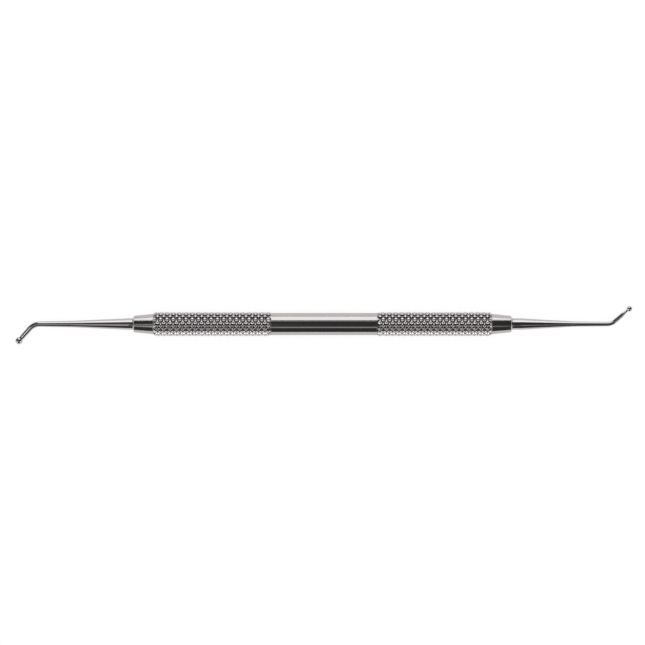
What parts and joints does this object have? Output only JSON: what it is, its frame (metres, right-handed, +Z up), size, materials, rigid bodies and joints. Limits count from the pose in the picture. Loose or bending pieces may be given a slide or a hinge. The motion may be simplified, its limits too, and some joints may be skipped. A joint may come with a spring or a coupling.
{
  "type": "double-ended ball burnisher",
  "caption": "Slim steel hand instrument with knurled grips, a smooth waist, and at each end a tapered shank bent to a small polished ball.",
  "frame": {"origin": "on the surface that the instrument lies on, straight below the handle's axis at the middle of the handle", "axes": "+X along the handle towards the small ball end, +Z up from the surface, +Y to the side that the small ball points to"},
  "size_m": [0.1764, 0.0109, 0.0069],
  "materials": {
    "handle_steel": "polished stainless steel, satin in the knurl",
    "tip_steel": "polished stainless steel"
  },
  "bodies": {
    "root": {"handle": "handle_steel", "large_ball_end": "tip_steel", "small_ball_end": "tip_steel"}
  },
  "joints": []
}
